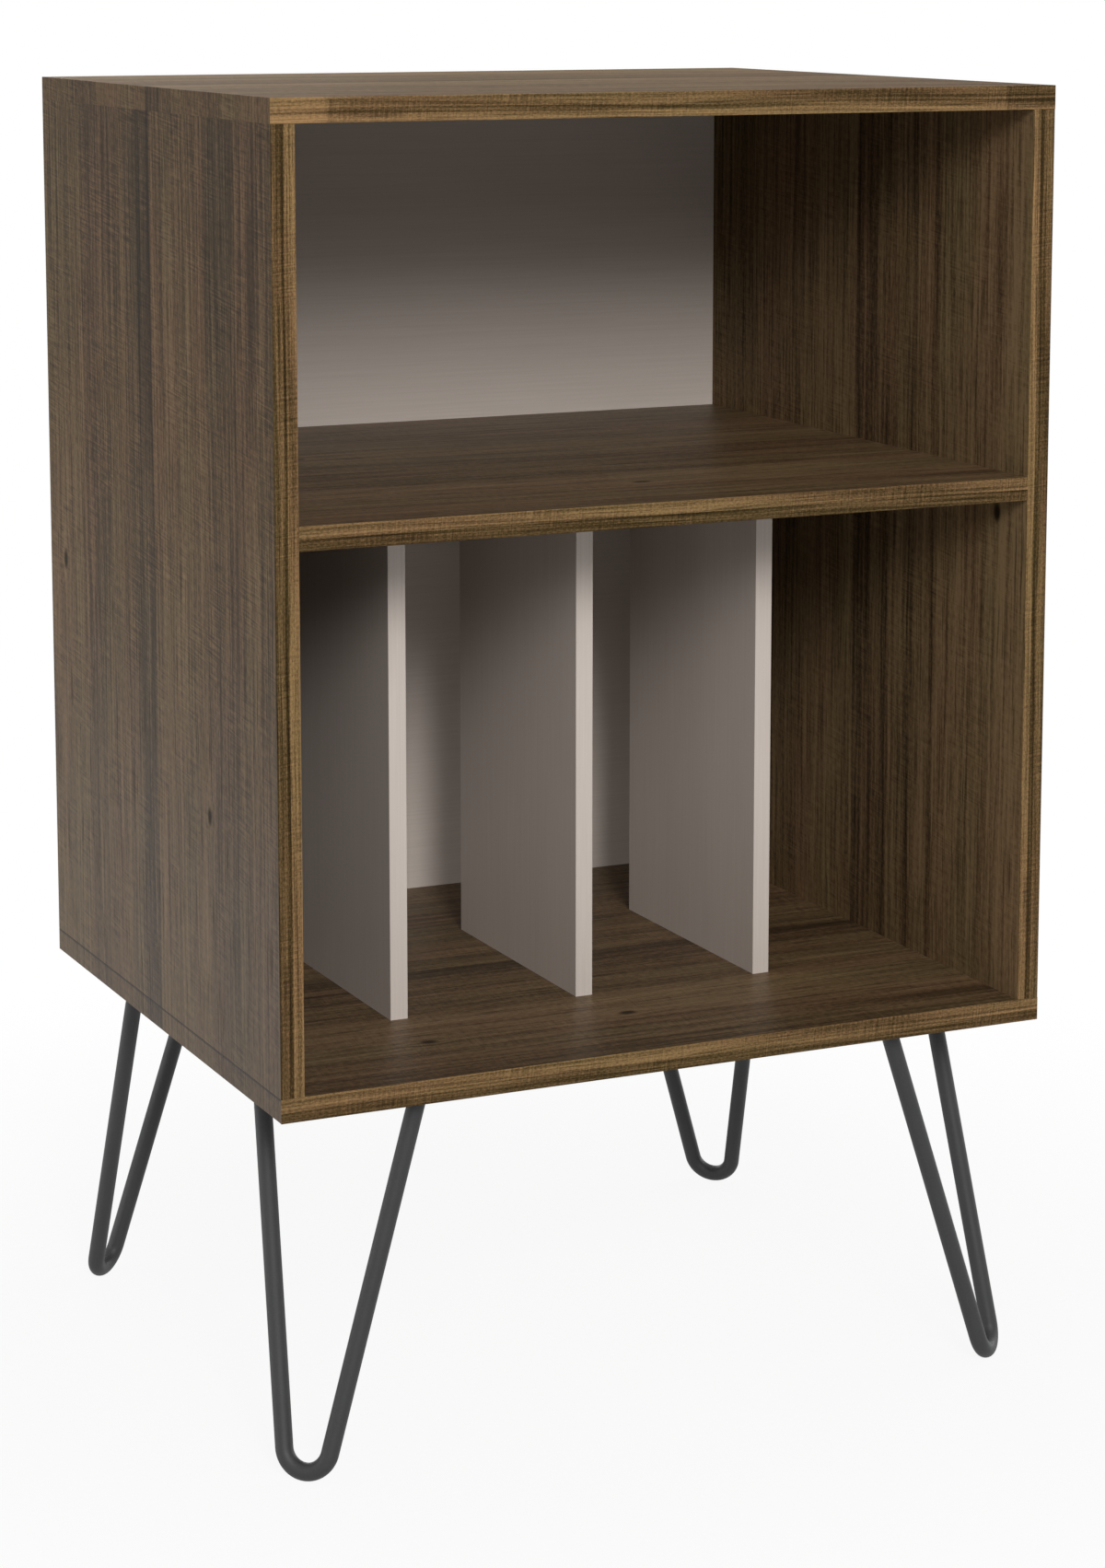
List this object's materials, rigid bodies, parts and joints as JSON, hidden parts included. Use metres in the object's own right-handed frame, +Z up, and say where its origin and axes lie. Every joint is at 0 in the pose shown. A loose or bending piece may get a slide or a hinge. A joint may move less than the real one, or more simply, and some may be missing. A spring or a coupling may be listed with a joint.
{
  "type": "turntable stand",
  "caption": "Open-fronted wood-look cabinet on splayed hairpin legs, with a player bay above a divided bay that holds records upright.",
  "frame": {"origin": "on the floor, under the middle of the overall box", "axes": "+Z up, +X to the right seen from the open front, the open front faces -Y"},
  "size_m": [0.595, 0.497, 0.95],
  "materials": {
    "walnut_laminate": "satin wood-look laminate on particleboard",
    "walnut_edge_band": "satin wood-look edge band",
    "taupe_paint": "matte taupe foil on board",
    "taupe_edge_band": "matte taupe edge band",
    "taupe_hardboard": "matte taupe foil on hardboard",
    "black_powder_coat": "matte black powder coat",
    "zinc_plated_steel": "bright zinc plate",
    "zinc_alloy": "as-cast zinc alloy",
    "beech": "bare beech",
    "walnut_cover": "satin wood-look stick-on cover"
  },
  "bodies": {
    "root": {"back_panel": "taupe_hardboard", "back_panel_nails": "zinc_plated_steel", "bottom_carcass_screws": "zinc_plated_steel", "bottom_dowels": "beech", "bottom_front_edge_band": "walnut_edge_band", "bottom_left_edge_band": "walnut_edge_band", "bottom_panel": "walnut_laminate", "bottom_right_edge_band": "walnut_edge_band", "cam_cover_caps": "walnut_cover", "centre_divider": "taupe_paint", "centre_divider_edge_band": "taupe_edge_band", "divider_dowels": "beech", "divider_screws": "zinc_plated_steel", "front_left_hairpin_rod": "black_powder_coat", "front_left_leg_plate": "black_powder_coat", "front_left_leg_screws": "black_powder_coat", "front_right_hairpin_rod": "black_powder_coat", "front_right_leg_plate": "black_powder_coat", "front_right_leg_screws": "black_powder_coat", "left_divider": "taupe_paint", "left_divider_edge_band": "taupe_edge_band", "left_side_front_edge_band": "walnut_edge_band", "left_side_panel": "walnut_laminate", "middle_shelf": "walnut_laminate", "rear_left_hairpin_rod": "black_powder_coat", "rear_left_leg_plate": "black_powder_coat", "rear_left_leg_screws": "black_powder_coat", "rear_right_hairpin_rod": "black_powder_coat", "rear_right_leg_plate": "black_powder_coat", "rear_right_leg_screws": "black_powder_coat", "right_divider": "taupe_paint", "right_divider_edge_band": "taupe_edge_band", "right_side_front_edge_band": "walnut_edge_band", "right_side_panel": "walnut_laminate", "shelf_cam_bolts": "zinc_plated_steel", "shelf_cam_locks": "zinc_alloy", "shelf_dowels": "beech", "shelf_front_edge_band": "walnut_edge_band", "top_cam_bolts": "zinc_plated_steel", "top_cam_locks": "zinc_alloy", "top_dowels": "beech", "top_front_edge_band": "walnut_edge_band", "top_left_edge_band": "walnut_edge_band", "top_panel": "walnut_laminate", "top_right_edge_band": "walnut_edge_band"}
  },
  "joints": []
}
